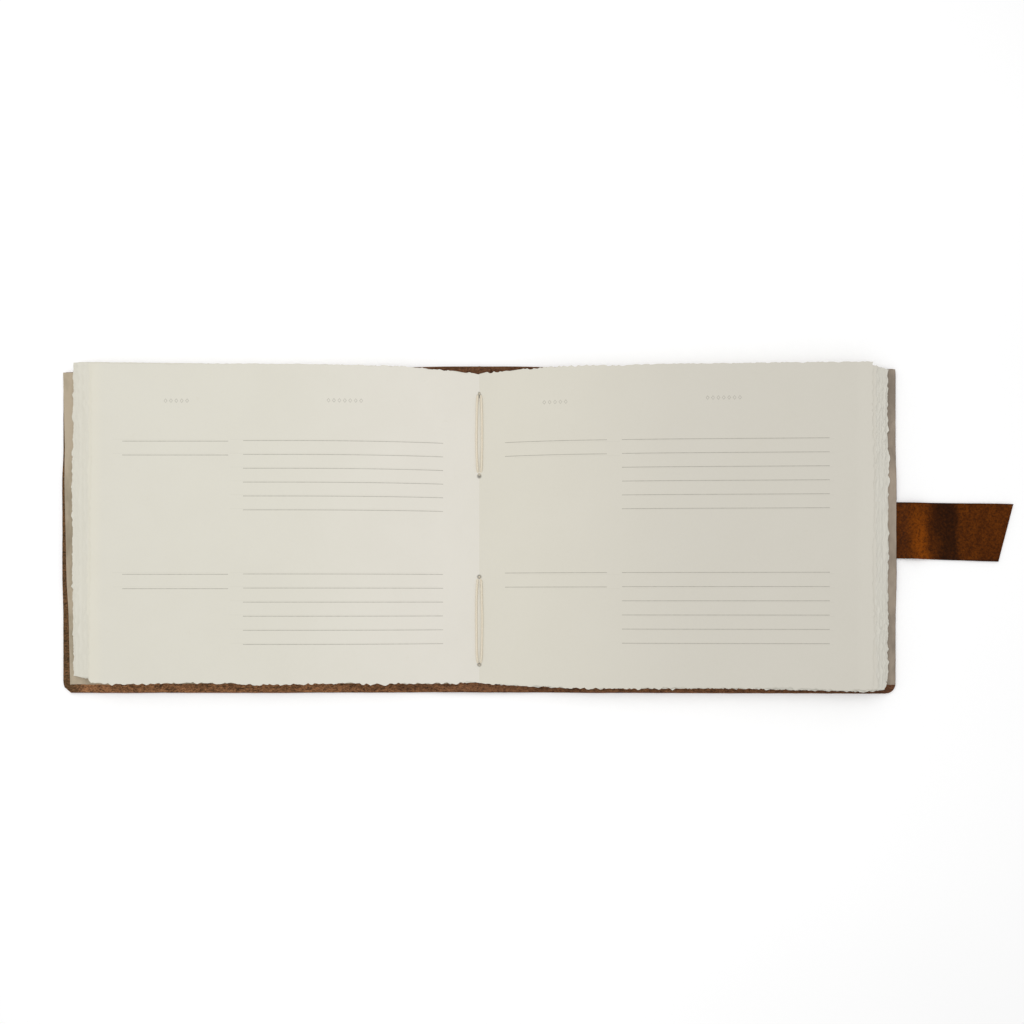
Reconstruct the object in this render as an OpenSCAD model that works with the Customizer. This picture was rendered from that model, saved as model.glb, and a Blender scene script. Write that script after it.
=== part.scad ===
// Wedding guest book: a soft leather wrap cover, five sewn signatures of
// deckle-edged leaves and a strap that tucks under a keeper. It lies open at
// its middle, with the covers flat and the head of the book towards +Y.

/* [Cover] */
// Height of the cover from tail to head
cover_h = 203; // [200:1:240]
// Reach of each cover from the gutter to its fore edge
cover_reach = 260.5; // [258:0.5:300]
// Thickness of the cover leather
leather_t = 2.5; // [2:0.1:3.5]
// Width of the spine between its two bends
spine_w = 25.6; // [24:0.1:32]
// Radius of the covers' outer corners at the tail
tail_corner_r = 6; // [2:0.5:12]
// Radius of the covers' outer corners at the head
head_corner_r = 1.5; // [0.5:0.5:12]
// Thickness of the endpapers pasted inside the covers
endpaper_t = 0.4; // [0.2:0.1:0.6]

/* [Leaves] */
// Height of a leaf from tail to head
leaf_h = 196.5; // [180:0.5:198]
// Distance of the leaves' middle from the cover's middle, towards the head
leaf_rise = 1.25; // [0:0.25:2]
// Reach of the leaves from the gutter when the fore edges are flush
leaf_reach = 254; // [240:0.5:256]
// Step between the fore edges of stacked half signatures when open
fan_step = 2.8; // [1:0.1:3.5]
// Distance from the gutter over which the leaves rise to full height
valley_w = 80; // [60:1:100]
// Thickness of the folded sheets at the bottom of the gutter
fold_t = 1; // [0.8:0.1:2]
// Thickness of the two pages that lie uppermost
page_t = 0.4; // [0.3:0.05:0.5]

/* [Sewing] */
// Heights of the sewing holes, measured from the cover's middle
stations = [86, 35.5, -29, -84];
// Radius of the sewing holes in the spine
hole_r = 0.9; // [0.8:0.05:1.1]
// Radius of one strand of the waxed thread
thread_r = 0.45; // [0.3:0.05:0.5]

/* [Strap] */
// Width of the strap
strap_w = 36.6; // [25:0.1:40]
// Thickness of the strap and of the keeper
strap_t = 1.6; // [1.4:0.1:2.5]
// Length of strap stitched to the back cover
anchor_len = 60; // [50:1:80]
// Length of strap from the cover's edge to its first bend
strap_lead = 0.8; // [0.6:0.1:1.5]
// Length of strap that stands against the closed fore edge
wrap_len = 30.8; // [29:0.1:34]
// Length of strap that lies on the closed front cover
tab_len = 43.4; // [35:0.1:50]
// Length by which the tip is cut away at its tail side
tip_slant = 9.4; // [0:0.1:12]

/* [Keeper] */
// Length of the keeper along the cover's height
keeper_len = 53; // [50:1:60]
// Width of the keeper
keeper_w = 18; // [12:1:20]
// Distance of the keeper from the front cover's fore edge
keeper_inset = 10; // [6:1:14]
// Length of each end of the keeper that is stitched down
keeper_end = 7; // [5:0.5:8]

/* [Hidden] */
$fn = 32;

left = -1;
right = 1;
signatures = 5;
half_spine = spine_w / 2;
crease_gap = 0.1;
fit_gap = 0.1;
sliver_gap = 0.05;
leaf_gap = 0.08;

// Heights: the strap and the keeper lie under the covers
cover_z = strap_t;
inner_z = cover_z + leather_t;
stack_z = inner_z + endpaper_t + fit_gap;
meet_z = inner_z + half_spine;
stack_t = meet_z - fit_gap - page_t - sliver_gap - stack_z;
level_pitch = stack_t / signatures;
row_pitch = spine_w / signatures;

// The strap sticks out on one side only, so the gutter is left of the origin
strap_free = strap_lead + wrap_len + tab_len;
gutter_x = -strap_free / 2;
wrap_x = cover_reach + strap_lead;
tab_x = wrap_x + wrap_len;
page_reach = leaf_reach - signatures * fan_step;
page_start = 6;
valley_steps = 16;

// Endpapers stop short of the bends, the fore edges and the cover's ends
endpaper_start = half_spine + 0.6;
endpaper_reach = cover_reach - 0.8;
endpaper_h = cover_h - 7;

// Stitching: pitch, groove and awl holes of the strap's and keeper's seams
stitch_pitch = 5;
stitch_r = 0.3;
awl_r = 0.45;
groove_w = 1;
groove_t = 0.7;
seam_inset = 3;

leather_brown = [0.33, 0.22, 0.15];
strap_brown = [0.30, 0.12, 0.03];
taupe = [0.68, 0.63, 0.55];
cream = [0.87, 0.86, 0.81];
thread_white = [0.85, 0.81, 0.74];

// Seams as [x, y, direction, holes], with x from the gutter
strap_holes = floor((anchor_len - 2 * seam_inset) / stitch_pitch) + 1;
anchor_x = cover_reach - anchor_len;
seam_y = strap_w / 2 - seam_inset;
strap_seams = [
    [anchor_x + seam_inset, seam_y, 0, strap_holes],
    [anchor_x + seam_inset, -seam_y, 0, strap_holes],
    [anchor_x + seam_inset, -seam_y + stitch_pitch, 90,
     floor((2 * seam_y - 2 * stitch_pitch) / stitch_pitch) + 1]
];
keeper_x = -cover_reach + keeper_inset;
keeper_holes = floor((keeper_w - 2 * seam_inset) / stitch_pitch) + 1;
keeper_seam_y = (keeper_len - keeper_end) / 2;
keeper_seams = [
    for (side = [left, right])
        [keeper_x + seam_inset, side * keeper_seam_y, 0, keeper_holes]
];

// Outline of a cover: rounded at the fore edge, square at the spine
module cover_outline() {
    start = half_spine + crease_gap;
    difference() {
        translate([start, -cover_h / 2])
            square([cover_reach - start, cover_h]);
        corner_waste(-1, tail_corner_r);
        corner_waste(1, head_corner_r);
    }
}

// What is cut off a cover's outer corner at its tail (-1) or head (1)
module corner_waste(end, r) {
    difference() {
        translate([cover_reach - r, end * cover_h / 2 - (end > 0 ? r : 1)])
            square([r + 1, r + 1]);
        translate([cover_reach - r, end * (cover_h / 2 - r)]) circle(r);
    }
}

// Everything below is drawn about the gutter and moved into place by this
module placed() {
    translate([gutter_x, 0, 0]) children();
}

// A side's copy of something drawn for the right side
module on_side(side) {
    if (side == left) mirror([1, 0, 0]) children();
    else children();
}

// A seam's thread: awl-hole posts joined by a line inside and one outside
module seam_thread(seam) {
    length = (seam[3] - 1) * stitch_pitch;
    low = stitch_r + 0.1;
    high = inner_z - stitch_r - 0.1;
    translate([seam[0], seam[1], 0]) rotate(seam[2]) {
        for (i = [0 : seam[3] - 1])
            translate([i * stitch_pitch, 0, low])
                cylinder(r = stitch_r, h = high - low);
        for (z = [low, high])
            translate([0, 0, z]) rotate([0, 90, 0])
                cylinder(r = stitch_r, h = length);
    }
}

// The room that a seam's thread takes out of the leather
module seam_room(seam) {
    length = (seam[3] - 1) * stitch_pitch;
    translate([seam[0], seam[1], 0]) rotate(seam[2]) {
        for (i = [0 : seam[3] - 1])
            translate([i * stitch_pitch, 0, -1])
                cylinder(r = awl_r, h = inner_z + 2);
        for (z = [groove_t - 1, inner_z - groove_t])
            translate([-groove_w / 2, -groove_w / 2, z])
                cube([length + groove_w, groove_w, 1]);
    }
}

// Share of its full height that a leaf has reached at u, from 0 to 1
function rise(u) = 1 - pow(1 - u, 2);

// Distance from the gutter at which level f of the stack meets the spine
function level_start(f) = (1 - f) * half_spine;

// Height of level f of the stack at distance d from the gutter
function level_z(f, d) =
    let (low = stack_z + f * fold_t, high = stack_z + f * stack_t)
    low + (high - low) * rise((d - level_start(f)) / (valley_w - level_start(f)));

// Points of level f from the spine out to the end of the valley
function level_curve(f, from) = [
    for (i = [0 : valley_steps])
        let (d = from + (valley_w - from) * i / valley_steps)
        [d, level_z(f, d)]
];

function backwards(points) = [
    for (i = [len(points) - 1 : -1 : 0]) points[i]
];

// Draws a cross-section in X and Z along the leaves' height
module along_leaf(start_y, length) {
    translate([0, start_y + length, 0]) rotate([90, 0, 0])
        linear_extrude(length) children();
}

leaf_y = leaf_rise - leaf_h / 2;

// Reach of the open fore edge of level k, counted from the bottom
function open_reach(k) = leaf_reach - fan_step * (k - 0.5);

module half_signature(side, k) {
    start = valley_w + fit_gap;
    color(cream) placed() on_side(side)
        translate([start, leaf_y, stack_z + (k - 1) * level_pitch])
            cube([open_reach(k) - start, leaf_h, level_pitch - leaf_gap]);
}

// The sewn-down inner strip of a signature, between two levels of the stack
module fold_strip(side, low_f, high_f) {
    top_f = high_f == 1 ? 1 : high_f - leaf_gap / stack_t;
    lower = level_curve(low_f, level_start(low_f));
    upper = level_curve(top_f, level_start(top_f));
    base = low_f == 0
        ? [[level_start(top_f), stack_z]]
        : [[level_start(top_f), stack_z], [level_start(low_f), stack_z]];
    on_side(side) along_leaf(leaf_y, leaf_h)
        polygon(concat(base, lower, backwards(upper)));
}

module outer_signature_fold(side, low_f, high_f) {
    color(cream) placed() fold_strip(side, low_f, high_f);
}

module middle_signature_fold() {
    color(cream) placed()
        for (side = [left, right])
            fold_strip(side, (signatures - 1) / signatures, 1);
}

// An uppermost page: it follows the valley, then lies flat
module page(side) {
    curve = level_curve(1, page_start);
    flat_z = stack_z + stack_t;
    under = [for (p = concat(curve, [[page_reach, flat_z]])) p + [0, sliver_gap]];
    over = [for (p = under) p + [0, page_t]];
    color(cream) placed() on_side(side) along_leaf(leaf_y, leaf_h)
        polygon(concat(under, backwards(over)));
}

// A doubled strand that runs along the spine between two stations
module double_strand(from_y, to_y, z) {
    for (side = [left, right])
        translate([side * thread_r * 1.2, from_y, z])
            rotate([from_y > to_y ? 90 : -90, 0, 0])
                cylinder(r = thread_r, h = abs(from_y - to_y));
}

// One signature's thread: two inner stitches, one outer, a post at each hole
module sewing_thread(row) {
    middle = (signatures + 1) / 2;
    post_r = hole_r - 0.3;
    outer_z = cover_z - thread_r - 0.02;
    inner_stitch_z = thread_r + (row == middle ? stack_z + fold_t : inner_z + 0.02);
    color(thread_white) placed() translate([(row - middle) * row_pitch, 0, 0]) {
        for (y = stations)
            translate([0, y, outer_z])
                cylinder(r = post_r, h = inner_stitch_z - outer_z);
        double_strand(stations[0], stations[1], inner_stitch_z);
        double_strand(stations[1], stations[2], outer_z);
        double_strand(stations[2], stations[3], inner_stitch_z);
    }
}

// Short links at head and tail that join each row of sewing to the next
module kettle_stitches() {
    clear = hole_r - 0.2;
    color(thread_white) placed()
        for (y = [stations[0], stations[3]], i = [0 : signatures - 2])
            translate([(i + 0.5) * row_pitch - half_spine + clear, y,
                       cover_z - thread_r - 0.02])
                rotate([0, 90, 0])
                    cylinder(r = thread_r, h = row_pitch - 2 * clear);
}

module front_cover_leather() {
    color(leather_brown) placed() difference() {
        translate([0, 0, cover_z]) linear_extrude(leather_t)
            mirror([1, 0]) cover_outline();
        for (seam = keeper_seams) seam_room(seam);
    }
}

module back_cover_leather() {
    color(leather_brown) placed() difference() {
        translate([0, 0, cover_z]) linear_extrude(leather_t) cover_outline();
        for (seam = strap_seams) seam_room(seam);
    }
}

module spine_leather() {
    panel_w = spine_w - 2 * crease_gap;
    color(leather_brown) placed() difference() {
        translate([-panel_w / 2, -cover_h / 2, cover_z])
            cube([panel_w, cover_h, leather_t]);
        for (i = [0 : signatures - 1], y = stations)
            translate([(i + 0.5) * row_pitch - half_spine, y, cover_z - 1])
                cylinder(r = hole_r, h = leather_t + 2);
    }
}

module endpaper(side) {
    color(taupe) placed() on_side(side)
        translate([endpaper_start, leaf_rise - endpaper_h / 2, inner_z])
            cube([endpaper_reach - endpaper_start, endpaper_h, endpaper_t]);
}

module strap_anchor() {
    color(strap_brown) placed() difference() {
        translate([anchor_x, -strap_w / 2, 0])
            cube([wrap_x - crease_gap - anchor_x, strap_w, strap_t]);
        for (seam = strap_seams) seam_room(seam);
    }
}

module strap_wrap() {
    color(strap_brown) placed()
        translate([wrap_x + crease_gap, -strap_w / 2, 0])
            cube([wrap_len - 2 * crease_gap, strap_w, strap_t]);
}

module strap_tab() {
    start = tab_x + crease_gap;
    tip = tab_x + tab_len;
    color(strap_brown) placed() linear_extrude(strap_t)
        polygon([
            [start, -strap_w / 2], [tip - tip_slant, -strap_w / 2],
            [tip, strap_w / 2], [start, strap_w / 2]
        ]);
}

module strap_stitches() {
    color(thread_white) placed() for (seam = strap_seams) seam_thread(seam);
}

// The stitched-down ends of the keeper
module keeper_ends() {
    color(strap_brown) placed() difference() {
        for (side = [left, right])
            translate([keeper_x, side * keeper_seam_y - keeper_end / 2, 0])
                cube([keeper_w, keeper_end, strap_t]);
        for (seam = keeper_seams) seam_room(seam);
    }
}

// The free middle of the keeper, which rises to let the strap through
module keeper_bridge() {
    free_len = keeper_len - 2 * keeper_end - 2 * crease_gap;
    color(strap_brown) placed()
        translate([keeper_x, -free_len / 2, 0])
            cube([keeper_w, free_len, strap_t - sliver_gap]);
}

module keeper_stitches() {
    color(thread_white) placed() for (seam = keeper_seams) seam_thread(seam);
}

front_cover_leather();
spine_leather();
back_cover_leather();
endpaper(left);  // front_endpaper
endpaper(right);  // back_endpaper
half_signature(left, 1);  // signature_1_first_half
half_signature(left, 2);  // signature_1_second_half
outer_signature_fold(left, 0, 0.4);  // signature_1_fold
half_signature(left, 3);  // signature_2_first_half
half_signature(left, 4);  // signature_2_second_half
outer_signature_fold(left, 0.4, 0.8);  // signature_2_fold
half_signature(left, 5);  // signature_3_first_half
half_signature(right, 5);  // signature_3_second_half
middle_signature_fold();  // signature_3_fold
half_signature(right, 4);  // signature_4_first_half
half_signature(right, 3);  // signature_4_second_half
outer_signature_fold(right, 0.4, 0.8);  // signature_4_fold
half_signature(right, 2);  // signature_5_first_half
half_signature(right, 1);  // signature_5_second_half
outer_signature_fold(right, 0, 0.4);  // signature_5_fold
page(left);  // left_page
page(right);  // right_page
sewing_thread(1);  // sewing_thread_1
sewing_thread(2);  // sewing_thread_2
sewing_thread(3);  // sewing_thread_3
sewing_thread(4);  // sewing_thread_4
sewing_thread(5);  // sewing_thread_5
kettle_stitches();
strap_anchor();
strap_wrap();
strap_tab();
strap_stitches();
keeper_ends();
keeper_bridge();
keeper_stitches();
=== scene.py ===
"""Wedding guest book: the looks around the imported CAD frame. Lengths are in millimetres from the
gutter, unless a name says otherwise, and place() turns them into metres in the row frame."""

import math

import bmesh
import bpy
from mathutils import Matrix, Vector, noise
from mathutils.geometry import delaunay_2d_cdt


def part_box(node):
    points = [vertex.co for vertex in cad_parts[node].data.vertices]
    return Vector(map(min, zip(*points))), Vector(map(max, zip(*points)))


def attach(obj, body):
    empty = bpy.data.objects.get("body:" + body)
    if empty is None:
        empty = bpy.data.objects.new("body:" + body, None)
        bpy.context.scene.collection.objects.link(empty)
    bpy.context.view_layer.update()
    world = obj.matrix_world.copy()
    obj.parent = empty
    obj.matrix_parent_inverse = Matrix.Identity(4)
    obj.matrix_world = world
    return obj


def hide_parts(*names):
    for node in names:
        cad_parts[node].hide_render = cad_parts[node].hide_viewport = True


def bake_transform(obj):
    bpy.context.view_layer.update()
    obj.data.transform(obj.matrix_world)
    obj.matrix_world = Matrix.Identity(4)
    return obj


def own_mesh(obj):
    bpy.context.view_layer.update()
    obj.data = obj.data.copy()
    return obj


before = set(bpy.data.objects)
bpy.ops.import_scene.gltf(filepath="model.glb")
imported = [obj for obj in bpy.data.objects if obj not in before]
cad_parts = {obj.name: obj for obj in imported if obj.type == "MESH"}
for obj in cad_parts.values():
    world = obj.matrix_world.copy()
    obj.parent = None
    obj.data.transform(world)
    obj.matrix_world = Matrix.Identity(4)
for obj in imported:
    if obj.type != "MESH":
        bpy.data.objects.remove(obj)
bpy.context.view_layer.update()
MM = 0.001
LEFT, RIGHT = -1, 1

# ---- sizes from the frame


def edges(node):
    """A CAD node's lowest and highest corners, in millimetres."""
    low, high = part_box(node)
    return low / MM, high / MM


spine_low, spine_high = edges("spine_leather")
CREASE_GAP = 0.1
GUTTER = (spine_low.x + spine_high.x) / 2
HALF_SPINE = (spine_high.x - spine_low.x) / 2 + CREASE_GAP
COVER_Z, INNER_Z = spine_low.z, spine_high.z
COVER_REACH = edges("back_cover_leather")[1].x - GUTTER
COVER_H = round(spine_high.y - spine_low.y)
TAIL_Y = spine_low.y
PAGE_TOP = edges("left_page")[1].z
PAGE_W = 240.0

# Each side has five levels, half a signature each, counted from its cover up to the open page.
SIGNATURES = (1, 2, 3, 4, 5)
OPEN_AT = 3
LEVELS = 5
LEAVES_PER_LEVEL = 4
LEAVES = LEVELS * LEAVES_PER_LEVEL
TOP = LEAVES - 1
HALVES = [f"signature_{k}_{half}_half" for k in SIGNATURES for half in ("first", "second")]
BODIES = [f"leaves_{k + 1}" for k in range(2 * LEVELS)]
BLOCKS = {LEFT: HALVES[:LEVELS], RIGHT: HALVES[:LEVELS - 1:-1]}
LEAF_BODIES = {LEFT: BODIES[:LEVELS], RIGHT: BODIES[:LEVELS - 1:-1]}

# The sewing: the heights of the holes in every fold, and how far apart the five rows are.
STATIONS = (85.5, 34.7, -28.8, -84.1)
ROW_PITCH = 2 * HALF_SPINE / LEVELS

CAMERA_X, CAMERA_Y, CAMERA_Z = 20.4, -43.4, 583.0


def place(x, y, z):
    """A point given from the gutter in millimetres, as a Vector in metres in the row frame."""
    return Vector(((GUTTER + x) * MM, y * MM, z * MM))


def smooth(t):
    """0 up to t = 0 and 1 from t = 1, with a soft step between."""
    t = min(1.0, max(0.0, t))
    return t * t * (3 - 2 * t)


def mix(a, b, t):
    return a + (b - a) * t


def wander(x, y=0.0, z=0.0):
    """Smooth noise between about -1 and 1, the same on each run."""
    return noise.noise(Vector((x + 17.3, y - 5.1, z + 2.7)))


# ---- materials


class Shader:
    """A material's node tree, with short ways to add nodes. A value is a number or a socket."""

    def __init__(self, name):
        self.material = bpy.data.materials.new(name)
        self.material.use_nodes = True
        self.tree = self.material.node_tree
        self.surface = self.tree.nodes["Principled BSDF"]

    def link(self, socket, value):
        if isinstance(value, bpy.types.NodeSocket):
            self.tree.links.new(value, socket)
        else:
            socket.default_value = value

    def node(self, kind, inputs=None, **settings):
        made = self.tree.nodes.new("ShaderNode" + kind)
        for key, value in settings.items():
            setattr(made, key, value)
        for key, value in (inputs or {}).items():
            self.link(made.inputs[key], value)
        return made

    def math(self, operation, a, b=0.0):
        made = self.node("Math", operation=operation)
        self.link(made.inputs[0], a)
        self.link(made.inputs[1], b)
        return made.outputs[0]

    def times(self, a, b):
        return self.math("MULTIPLY", a, b)

    def away(self, value, middle):
        """How far value is from middle, either way."""
        return self.math("ABSOLUTE", self.math("SUBTRACT", value, middle))

    def ramp(self, value, low, high, to_low=0.0, to_high=1.0):
        """value mapped smoothly from low..high to to_low..to_high."""
        made = self.node("MapRange", {"Value": value, "From Min": low, "From Max": high,
                                      "To Min": to_low, "To Max": to_high},
                         interpolation_type="SMOOTHSTEP")
        return made.outputs["Result"]

    def blend(self, factor, a, b):
        """Colour a where factor is 0 and b where it is 1."""
        made = self.node("Mix", data_type="RGBA")
        self.link(made.inputs["Factor"], factor)
        self.link(made.inputs["A"], a)
        self.link(made.inputs["B"], b)
        return made.outputs["Result"]

    def tint(self, colour, value, levels, screen_colour):
        """colour with another laid over it by a ramp of value."""
        return self.blend(self.ramp(value, *levels), colour, srgb(*screen_colour))

    def noise(self, scale, detail, roughness, stretch=(1, 1, 1), distortion=0.0):
        """Noise on the object's own coordinates. scale is in features per metre."""
        where = self.node("TexCoord").outputs["Object"]
        stretched = self.node("Mapping", {"Vector": where, "Scale": stretch})
        made = self.node("TexNoise", {"Vector": stretched.outputs[0], "Scale": scale, "Detail": detail,
                                      "Roughness": roughness, "Distortion": distortion})
        return made.outputs["Fac"]

    def bump(self, height, distance, strength, under=None):
        inputs = {"Height": height, "Distance": distance, "Strength": strength}
        if under is not None:
            inputs["Normal"] = under
        return self.node("Bump", inputs).outputs[0]

    def finish(self, colour, roughness, specular, normal=None):
        self.link(self.surface.inputs["Base Color"], colour)
        self.link(self.surface.inputs["Roughness"], roughness)
        self.surface.inputs["Specular IOR Level"].default_value = specular
        if normal is not None:
            self.link(self.surface.inputs["Normal"], normal)
        return self.material


def srgb(red, green, blue):
    """A colour given as 0..255 screen values, as linear RGBA."""
    parts = []
    for value in (red, green, blue):
        value /= 255
        parts.append(value / 12.92 if value <= 0.04045 else ((value + 0.055) / 1.055) ** 2.4)
    return (*parts, 1.0)


def paper_grain(shader, base):
    """The colour and bump of uncoated cotton paper. base is a colour or a colour socket."""
    cloud = shader.noise(26, 4, 0.6)
    fibre = shader.noise(900, 3, 0.7, stretch=(1, 0.55, 1), distortion=0.6)
    pulp = shader.ramp(shader.noise(420, 2, 0.5, distortion=1.5), 0.62, 0.8)
    colour = shader.blend(shader.ramp(cloud, 0.3, 0.7, 0.0, 0.07), base, srgb(186, 181, 166))
    colour = shader.blend(shader.times(pulp, 0.10), colour, srgb(190, 181, 160))
    colour = shader.blend(shader.times(fibre, 0.07), colour, srgb(232, 230, 222))
    soft = shader.bump(shader.noise(70, 3, 0.5), 0.0005, 0.5)
    normal = shader.bump(fibre, 0.00012, 0.35, soft)
    return colour, normal


# Near the gutter and farther out, then along the fore edge, all with painted light: lighter near the gutter,
# darker on the right page as painted shade, and a lighter band painted along the fore edge.
PAGE_TONES_WITH_PAINTED_LIGHT = {LEFT: (srgb(214, 210, 200), srgb(209, 206, 194)),
              RIGHT: (srgb(207, 203, 190), srgb(200, 196, 185))}
RIM_PAINTED_LIGHT = {LEFT: srgb(214, 210, 195), RIGHT: srgb(203, 199, 188)}
RIM_START, RIM_END = 229.0, 236.0
INK = srgb(112, 108, 98)
INK_STRENGTH, GHOST_STRENGTH = 0.55, 0.05
RULE_WIDTH = 0.42
RULE_BLUR = 0.16
UV_LIFT = 110.0


class Column:
    """A ruled column of a page: where it starts and ends, its two groups of lines and its heading.

    tops are the heights of the groups' first lines, and pitches their spacing."""

    def __init__(self, start, end, lines, tops, pitches, heading, heading_y, diamonds):
        self.start, self.end, self.lines = start, end, lines
        self.tops, self.pitches = tops, pitches
        self.heading, self.heading_y, self.diamonds = heading, heading_y, diamonds


COLUMNS = {
    LEFT: (Column(153.3, 218.1, 2, (53.8, -27.7), (8.5, 8.8), 185.1, 78.6, 5),
           Column(22.3, 144.2, 6, (54.2, -27.5), (8.49, 8.62), 82.1, 79.0, 7)),
    RIGHT: (Column(16.0, 78.6, 2, (54.9, -26.6), (8.6, 8.8), 46.9, 78.9, 5),
            Column(87.8, 214.9, 6, (54.9, -26.6), (8.48, 8.66), 150.0, 79.9, 7)),
}
DIAMOND_PITCH, DIAMOND_R, DIAMOND_LINE = 3.3, 1.15, 0.44
DIAMOND_SLOPE = 1.25


def stripe(shader, value, middle, half_width, softness=0.12):
    """1 within half_width of middle, falling to 0 over softness."""
    off = shader.away(value, middle)
    return shader.ramp(off, half_width - softness / 2, half_width + softness / 2, 1.0, 0.0)


def any_of(shader, masks):
    """The greatest of several masks."""
    total = masks[0]
    for mask in masks[1:]:
        total = shader.math("MAXIMUM", total, mask)
    return total


def ruled_lines(shader, across, up, column):
    """Mask of the column's two groups of ruled lines."""
    middle, half = (column.start + column.end) / 2, (column.end - column.start) / 2
    inside = stripe(shader, across, middle, half)
    masks = []
    for top, pitch in zip(column.tops, column.pitches):
        down = shader.math("DIVIDE", shader.math("SUBTRACT", top, up), pitch)
        nearest = shader.math("ROUND", down)
        off = shader.times(shader.away(down, nearest), pitch)
        line = shader.ramp(off, (RULE_WIDTH - RULE_BLUR) / 2, (RULE_WIDTH + RULE_BLUR) / 2, 1.0, 0.0)
        within = stripe(shader, nearest, (column.lines - 1) / 2, column.lines / 2)
        masks.append(shader.times(shader.times(line, within), inside))
    return any_of(shader, masks)


def diamond_row(shader, across, up, column):
    """Mask of the row of small open diamonds that heads the column."""
    along = shader.math("DIVIDE", shader.math("SUBTRACT", across, column.heading), DIAMOND_PITCH)
    nearest = shader.math("ROUND", along)
    dx = shader.times(shader.away(along, nearest), DIAMOND_PITCH)
    dy = shader.away(up, column.heading_y)
    size = shader.math("ADD", shader.times(dx, DIAMOND_SLOPE), dy)
    outline = stripe(shader, size, DIAMOND_R, DIAMOND_LINE / 2, 0.2)
    within = stripe(shader, nearest, 0.0, column.diamonds / 2)
    return shader.times(outline, within)


def painted_hole_shade(shader, across, up):
    """Mask of painted shade at the sewing holes in the fold, dark inside each hole and soft round its rim.
    """
    holes = []
    for station in STATIONS:
        off = shader.math("SUBTRACT", up, station)
        reach = shader.math("SQRT", shader.math("ADD", shader.times(off, off), shader.times(across, across)))
        holes.append(shader.ramp(reach, 0.6, 2.0, 0.7, 0.0))
    return any_of(shader, holes)


def printed_paper(name, side):
    """Ruled paper, with the ruling of the page behind it showing through faintly.

    Its UVs give the distance from the gutter and the height plus UV_LIFT, in metres."""
    shader = Shader(name)
    uv = shader.node("SeparateXYZ", {"Vector": shader.node("UVMap", uv_map="leaf").outputs[0]})
    across = shader.math("DIVIDE", uv.outputs[0], MM)
    up = shader.math("SUBTRACT", shader.math("DIVIDE", uv.outputs[1], MM), UV_LIFT)
    # Painted light: lighter near the gutter, darker farther out, and darker on the right page as painted
    # shade.
    tone = shader.blend(shader.ramp(across, 5.0, 150.0), *PAGE_TONES_WITH_PAINTED_LIGHT[side])
    # Painted light: a lighter, warmer band along the fore edge, standing in for light through the thin edge,
    # darker on the right page.
    tone = shader.blend(shader.ramp(across, RIM_START, RIM_END, 0.0, 0.6), tone, RIM_PAINTED_LIGHT[side])
    colour, normal = paper_grain(shader, tone)
    mirrored = shader.math("SUBTRACT", PAGE_W, across)
    masks = []
    for column in COLUMNS[side]:
        masks.append(ruled_lines(shader, across, up, column))
        masks.append(shader.times(diamond_row(shader, across, up, column), 0.95))
    ink = any_of(shader, masks)
    ghost = any_of(shader, [ruled_lines(shader, mirrored, up, column) for column in COLUMNS[-side]])
    uneven = shader.ramp(shader.noise(500, 2, 0.6), 0.25, 0.75, 0.7, 1.0)
    ink = shader.times(shader.times(ink, INK_STRENGTH), uneven)
    colour = shader.blend(shader.times(ghost, GHOST_STRENGTH), colour, INK)
    colour = shader.blend(ink, colour, INK)
    # Painted shade in and round the sewing holes.
    colour = shader.blend(painted_hole_shade(shader, across, up), colour, srgb(70, 64, 54))
    return shader.finish(colour, 0.88, 0.25, normal)


def plain_paper(name, base):
    shader = Shader(name)
    colour, normal = paper_grain(shader, base)
    return shader.finish(colour, 0.9, 0.25, normal)


def endpaper_stock(name, base, dark):
    """Mould-made endpaper: a mottled sheet, duller in long patches."""
    shader = Shader(name)
    colour, normal = paper_grain(shader, base)
    drift = shader.noise(45, 4, 0.7, stretch=(1, 0.4, 1))
    colour = shader.blend(shader.ramp(drift, 0.35, 0.65), colour, dark)
    return shader.finish(colour, 0.9, 0.25, normal)


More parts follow.
